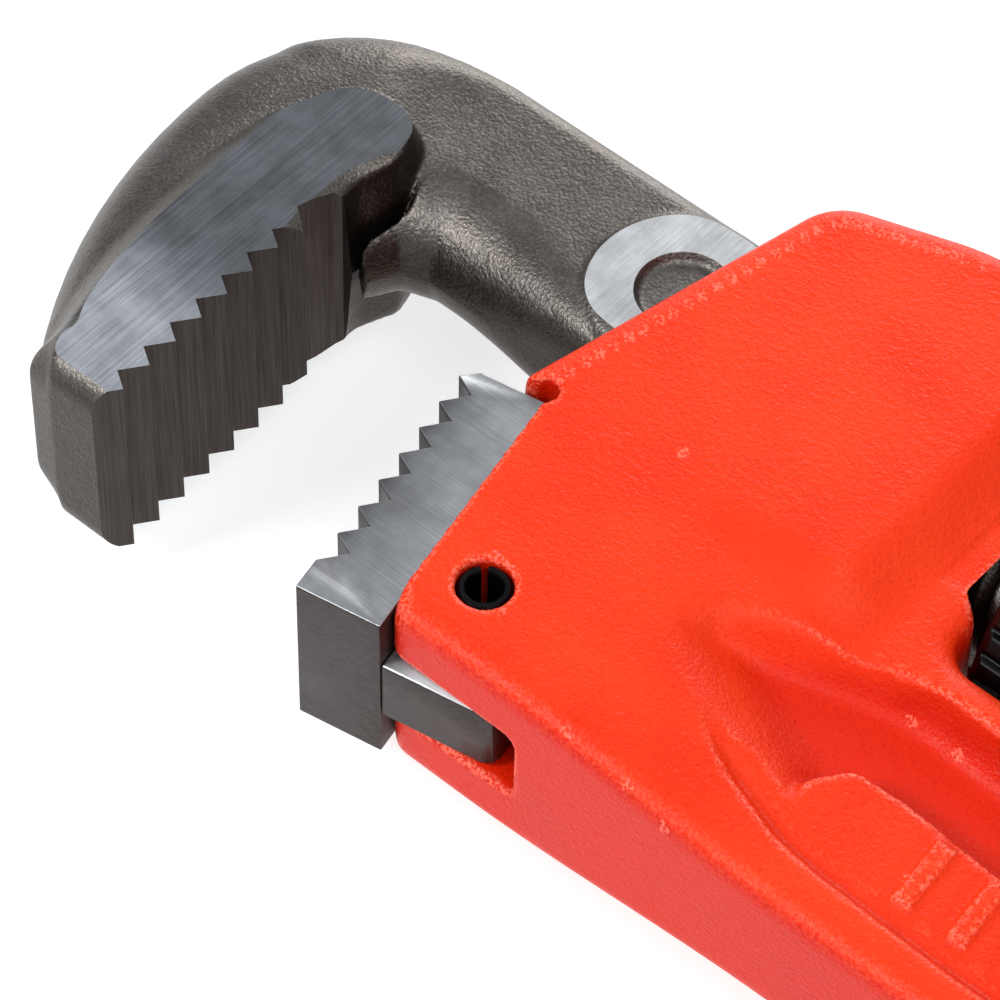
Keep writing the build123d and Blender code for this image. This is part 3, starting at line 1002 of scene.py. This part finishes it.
@dataclass
class HeelJaw:
    """Ground insert with milled teeth and a tongue, and the spring pin that holds it."""

    fit: Fit
    side: GroundSteel
    front: GroundSteel
    pin_steel: GroundSteel
    teeth: int = 7
    tooth_pitch: float = 4.25
    tooth_depth: float = 2.6
    wall_mm: float = 1.25

    def outline(self) -> List[Tuple[float, float]]:
        """Side outline of the insert: seat, back face, teeth, flat end."""
        fit = self.fit
        top, root = fit.heel_h, fit.heel_h - self.tooth_depth
        local = [(0, 0), (0, root + 0.6), (1.7, top)]
        for i in range(self.teeth - 1):
            at = 1.7 + i * self.tooth_pitch
            local += [(at + 1.7, root), (at + self.tooth_pitch, top)]
        last = local[-1][0]
        local += [(last + 1.7, root), (last + 4.2, top), (fit.heel_len, top), (fit.heel_len, 0)]
        return [fit.from_heel(t, n) for t, n in local]

    def dress(self, obj: Piece, bevel_mm: float) -> None:
        """Break the edges and give sides and cut faces their finishes.

        Args:
            obj: Piece with its flat sides facing up and down.
            bevel_mm: Width of the broken edge.
        """
        obj.data.materials.append(self.side.make())
        obj.data.materials.append(self.front.make())
        for face in obj.data.polygons:
            face.material_index = 0 if abs(face.normal.z) > 0.9 else 1
        bevel = obj.modifiers.new("broken edge", "BEVEL")
        bevel.width = bevel_mm * MM
        bevel.segments = 2
        bevel.limit_method = "ANGLE"
        bevel.harden_normals = True
        bake(obj)
        shade(obj, 32)
        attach(obj, Body.HANDLE.value)

    def build(self) -> List[Piece]:
        """Insert, tongue and pin."""
        fit = self.fit
        block = prism("heel_jaw_insert", self.outline(), -fit.heel_half_t, fit.heel_half_t)
        self.dress(block, 0.22)
        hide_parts("heel_jaw")
        deep = fit.tongue_depth
        end = fit.heel_len
        local = ((3.0, -0.05), (3.0, -9.0), (8.0, -deep), (end - 1.8, -deep), (end - 0.5, -deep + 0.4),
                 (end, -deep + 1.6), (end, -0.05))
        tongue = prism(
            "heel_jaw_tongue", [fit.from_heel(t, n) for t, n in local], -fit.tongue_half_t, fit.tongue_half_t
        )
        self.dress(tongue, 0.3)
        return [block, tongue, self.pin()]

    def pin(self) -> Piece:
        """Rolled spring pin: a tube with a slit and rounded-in ends."""
        fit = self.fit
        cx, cy = fit.pin_centre()
        inner = fit.pin_r - self.wall_mm
        half = 12.9
        section = (
            (inner, -half + 0.4), (inner + 0.3, -half), (fit.pin_r - 0.45, -half), (fit.pin_r, -half + 0.5),
            (fit.pin_r, half - 0.5), (fit.pin_r - 0.45, half), (inner + 0.3, half), (inner, half - 0.4),
        )
        slit = math.asin(0.55 / fit.pin_r)
        start, count = math.radians(-49) + slit, 56
        points = []
        for k in range(count + 1):
            a = start + (2 * math.pi - 2 * slit) * k / count
            points += [(cx + r * math.cos(a), cy + r * math.sin(a), z) for r, z in section]
        obj = ringed("heel_jaw_spring_pin", points, len(section))
        obj.data.materials.append(self.pin_steel.make())
        shade(obj, 40)
        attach(obj, Body.HANDLE.value)
        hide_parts("heel_jaw_pin")
        return obj


@dataclass
class AdjustingNut:
    """Knurled nut on the jaw's thread; only its two outer rings stand, by the fault noted in build."""

    fit: Fit
    steel: GroundSteel
    half_w: float = 8.25
    grooves: int = 36
    step: float = 0.25
    recess_r: float = 14.6
    mouth_r: float = 13.4

    def build(self) -> Piece:
        """Mesh and dress the nut."""
        radius, axis = self.fit.nut_r - 0.05, self.fit.axis_y
        grid = Grid((-9.5, axis - 20.2, -20.2), (9.5, axis + 20.2, 20.2), self.step)
        x, y, z = grid.axes()
        r = np.sqrt((y - axis) ** 2 + z**2)
        turn = np.arctan2(z, y - axis)
        wave = np.abs(np.mod(turn * self.grooves / (2 * math.pi), 1) - 0.5) * 2
        rim = r - radius + 0.75 * ease((0.42 - wave) / 0.3) * ease((self.half_w - 1.0 - np.abs(x)) / 0.6 + 1)
        body = both(rim, np.abs(x) - self.half_w + 0 * z, 0.5)
        body = np.maximum(body, (r - radius + np.abs(x) - self.half_w + 1.4) * 0.707)
        recess = np.maximum(r - self.recess_r, self.half_w - 0.5 - np.abs(x))
        body = both(body, -recess, 0.4)
        body = both(body, -self.fit.helix(x, y, z, 0.3, 0.35), 0.3)
        # known fault: half_w - |x| is meant here, and as it stands the cut opens the nut's middle
        body = np.maximum(body, -(r - self.mouth_r + (np.abs(x) - self.half_w)) * 0.707)
        obj = grid.mesh("adjusting_nut", body)
        obj.data.materials.append(self.steel.make())
        shade(obj, 50)
        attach(obj, Body.NUT.value)
        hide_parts("knurled_nut")
        return obj


@dataclass
class SpringSet:
    """Leaf spring behind the shank, its rivet, and the coil spring in front."""

    fit: Fit
    blued: GroundSteel
    bright: GroundSteel
    leaf_t: float = 0.9
    leaf_half_w: float = 6.0
    rivet_x: float = 17.0

    def leaf(self) -> Piece:
        """Bowed strip with a smooth bend and rounded edges."""
        low, bow = self.fit.axis_y - 16.7, self.fit.axis_y - 13.5
        knots = ((13, low), (18, low), (24, low + 0.1), (30, low + 1.1), (35, bow - 0.95), (39, bow - 0.9),
                 (44, low + 1.6), (50, low + 1.2))
        xs = np.linspace(13, 50, 60)
        ys = np.interp(xs, [k[0] for k in knots], [k[1] for k in knots])
        ys = np.convolve(np.pad(ys, 4, "edge"), np.ones(9) / 9, "valid")
        lower = list(zip(xs, ys))
        upper = [(x, y + self.leaf_t) for x, y in lower][::-1]
        obj = prism("leaf_spring", lower + upper, -self.leaf_half_w, self.leaf_half_w)
        return self.finish(obj, 0.2, Body.SPRINGS, "flat_spring", Slot.SPRING, self.blued)

    def coil(self) -> Piece:
        """Round wire wound into a compression spring with closed, ground ends."""
        wire, radius, turns, length = 0.55, 3.05, 5.6, 10.3
        points, ring, count = [], 10, 240
        for k in range(count + 1):
            s = k / count
            up = (s - 0.08) / 0.84
            rise = length * float(ease(np.array(up)) * 0.25 + np.clip(up, 0, 1) * 0.75)
            a = 2 * math.pi * turns * s
            out = np.array((math.cos(a), 0, math.sin(a)))
            centre = np.array((26.0, self.fit.axis_y + 12.3 + 0.7 + rise, 0)) + out * radius
            for j in range(ring):
                b = 2 * math.pi * j / ring
                points.append(tuple(centre + wire * (math.cos(b) * out + math.sin(b) * np.array((0, 1, 0)))))
        obj = ringed("coil_spring_wire", points, ring)
        return self.finish(obj, 0.0, Body.SPRINGS, "coil_spring", Slot.SPRING, self.blued)

    def rivet(self) -> Piece:
        """Rivet turned about its axis: domed head inside, peened end flush outside."""
        top = self.fit.axis_y - 14.9
        profile = ((top, 0.0), (top - 0.1, 0.9), (top - 0.25, 2.0), (top - 0.5, 2.9), (top - 0.95, 3.3),
                   (top - 1.0, 2.0), (-29.3, 2.0), (-29.55, 1.6), (-29.6, 0.0))
        points, ring = [], 28
        for y, r in profile:
            for j in range(ring):
                a = 2 * math.pi * j / ring
                points.append((self.rivet_x + max(r, 0.02) * math.cos(a), y, max(r, 0.02) * math.sin(a)))
        obj = ringed("spring_rivet_body", points, ring)
        return self.finish(obj, 0.0, Body.HANDLE, "spring_rivet", Slot.RIVET, self.bright)

    def finish(
        self, obj: Piece, bevel_mm: float, body: Body, node: str, slot: Slot, steel: GroundSteel
    ) -> Piece:
        """Dress a spring piece and tie it to its body.

        Args:
            obj: The piece.
            bevel_mm: Width of its broken edges, or 0.
            body: Body it rides on.
            node: CAD node it stands for.
            slot: Material slot of the record; not used.
            steel: Its finish.

        Returns:
            The same object.
        """
        obj.data.materials.append(steel.make())
        if bevel_mm > 0:
            bevel = obj.modifiers.new("broken edge", "BEVEL")
            bevel.width = bevel_mm * MM
            bevel.segments = 2
            bevel.limit_method = "ANGLE"
            bake(obj)
        shade(obj, 40)
        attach(obj, body.value)
        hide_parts(node)
        return obj


# ---------------------------------------------------------------- studio


@dataclass
class Studio:
    """Backlit table, soft lights and the camera."""

    table: LightTable
    lens_mm: float = 180.0
    sensor_mm: float = 36.0
    aim: Tuple[float, float, float] = (50.4, 44.45, 13.5)
    distance_mm: float = 531.9
    aim_x: float = -0.0030
    aim_y: float = 0.0166
    right: Tuple[float, float, float] = (-0.75500, -0.65558, 0.01345)
    down: Tuple[float, float, float] = (-0.52489, 0.59195, -0.61163)
    ahead: Tuple[float, float, float] = (0.39301, -0.46884, -0.79103)

    def floor(self) -> None:
        """Large table at the height that the wrench lies on."""
        size, points, faces = 6.0, [], []
        for i in range(9):
            for j in range(9):
                points.append(((i / 4 - 1) * size, (j / 4 - 1) * size, -0.0002))
        for i in range(8):
            for j in range(8):
                a = i * 9 + j
                faces.append((a, a + 9, a + 10, a + 1))
        mesh = bpy.data.meshes.new("studio_floor")
        mesh.from_pydata(points, [], faces)
        obj = bpy.data.objects.new("studio_floor", mesh)
        bpy.context.scene.collection.objects.link(obj)
        mesh.materials.append(self.table.make())

    def lamp(
        self, name: str, place: Tuple[float, float, float], size: float, watts: float, colour: str = "FFFFFF"
    ) -> None:
        """Square soft light aimed at the tool's head.

        Args:
            name: Name of the light.
            place: Where it stands from the head, in metres.
            size: Edge length in metres.
            watts: Power.
            colour: Hex colour.
        """
        light = bpy.data.lights.new(name, "AREA")
        light.size = size
        light.energy = watts
        light.color = linear(colour)[:3]
        obj = bpy.data.objects.new(name, light)
        bpy.context.scene.collection.objects.link(obj)
        target = ORIGIN + Vector(self.aim) * MM
        obj.location = target + Vector(place)
        obj.rotation_euler = (target - obj.location).to_track_quat("-Z", "Y").to_euler()

    def lights(self) -> None:
        """Room with a pale ceiling and darker walls, and three soft boxes."""
        world = bpy.data.worlds.new("pale_room")
        bpy.context.scene.world = world
        world.use_nodes = True
        tree = world.node_tree
        tree.nodes.clear()
        way = add(tree, "TexCoord").outputs["Generated"]
        up = add(tree, "SeparateXYZ", None, Vector=way).outputs["Z"]
        node = add(tree, "ValToRGB", None, Fac=up)
        stops = ((0.0, "8C8E92"), (0.25, "A9ABAF"), (0.6, "C0C3C7"), (1.0, "CCCFD2"))
        set_stops(node, stops)
        back = add(tree, "Background", None, Color=node.outputs["Color"], Strength=1.0)
        add(tree, "OutputWorld", None, Surface=back.outputs["Background"])
        self.lamp("key_box", (0.47, 0.78, 0.8), 0.34, 8.0)
        self.lamp("window_box", (0.45, -1.0, 0.36), 0.6, 6.0)
        self.lamp("overhead_box", (-0.65, 0.3, 1.1), 0.8, 6.5)

    def camera(self) -> None:
        """Long lens looking down over the jaws towards the handle."""
        data = bpy.data.cameras.new("studio_camera")
        data.lens = self.lens_mm
        data.sensor_width = self.sensor_mm
        data.clip_start = 0.01
        obj = bpy.data.objects.new("studio_camera", data)
        bpy.context.scene.collection.objects.link(obj)
        right, down, ahead = Vector(self.right), Vector(self.down), Vector(self.ahead)
        aim = ORIGIN + Vector(self.aim) * MM
        reach = self.distance_mm * MM
        place = aim - ahead * reach - right * (self.aim_x * reach) - down * (self.aim_y * reach)
        turn = Matrix((right, -down, -ahead)).transposed().to_4x4()
        obj.matrix_world = Matrix.Translation(place) @ turn
        bpy.context.scene.camera = obj

    def build(self) -> None:
        """Floor, lights and camera."""
        self.floor()
        self.lights()
        self.camera()
        bpy.context.scene.view_settings.view_transform = "Standard"


def main() -> None:
    """Build every piece in order."""
    logging.basicConfig(level=logging.INFO, format="%(message)s")
    fit = Fit()
    along_y, along_x, along_z = (1.0, 0.02, 1.0), (0.02, 1.0, 1.0), (1.0, 1.0, 0.02)
    handle = Handle(fit, CastEnamel("sprayed_enamel_on_casting"))
    log.info("handle: %d faces", len(handle.build().data.polygons))
    hook = HookJaw(
        fit,
        BlastedForging("shot_blasted_forging"),
        # the flat is given a painted highlight towards its nose end
        GroundSteel("ground_flat", dark="63656A", light="7E8085", along=along_y, bright="9A9A9A"),
        GroundSteel("ground_ring", dark="C8CACC", light="E4E5E6", along=(1.0, 0.04, 1.0)),
        GroundSteel("broached_teeth", "3E3835", "554E4A", along_z, rough_low=0.42, rough_high=0.6),
    )
    log.info("hook jaw: %d faces", len(hook.build().data.polygons))
    heel = HeelJaw(
        fit,
        GroundSteel("ground_heel_side", dark="A8AAAD", light="C0C1C4", along=along_x),
        GroundSteel("milled_heel_face", "433E3D", "575150", along_x, rough_low=0.4, rough_high=0.55),
        GroundSteel("blackened_pin", dark="141416", light="26262A", along=along_z),
    )
    for piece in heel.build():
        log.info("%s: %d faces", piece.name, len(piece.data.polygons))
    # the nut's steel is near-black, partly its blackened finish and partly painted shade for its place in
    # the window
    nut = AdjustingNut(fit, GroundSteel("blackened_and_shaded_nut", "1E1E20", "2C2C2E", (0.05, 1.0, 1.0)))
    log.info("nut: %d faces", len(nut.build().data.polygons))
    springs = SpringSet(
        fit,
        GroundSteel("blued_spring", dark="2B3038", light="454C57"),
        GroundSteel("bright_rivet", dark="8C8C8C", light="B0B0B0"),
    )
    for piece in (springs.leaf(), springs.coil(), springs.rivet()):
        log.info("%s: %d faces", piece.name, len(piece.data.polygons))
    Studio(LightTable("backlit_acrylic")).build()


if __name__ == "__main__":
    main()
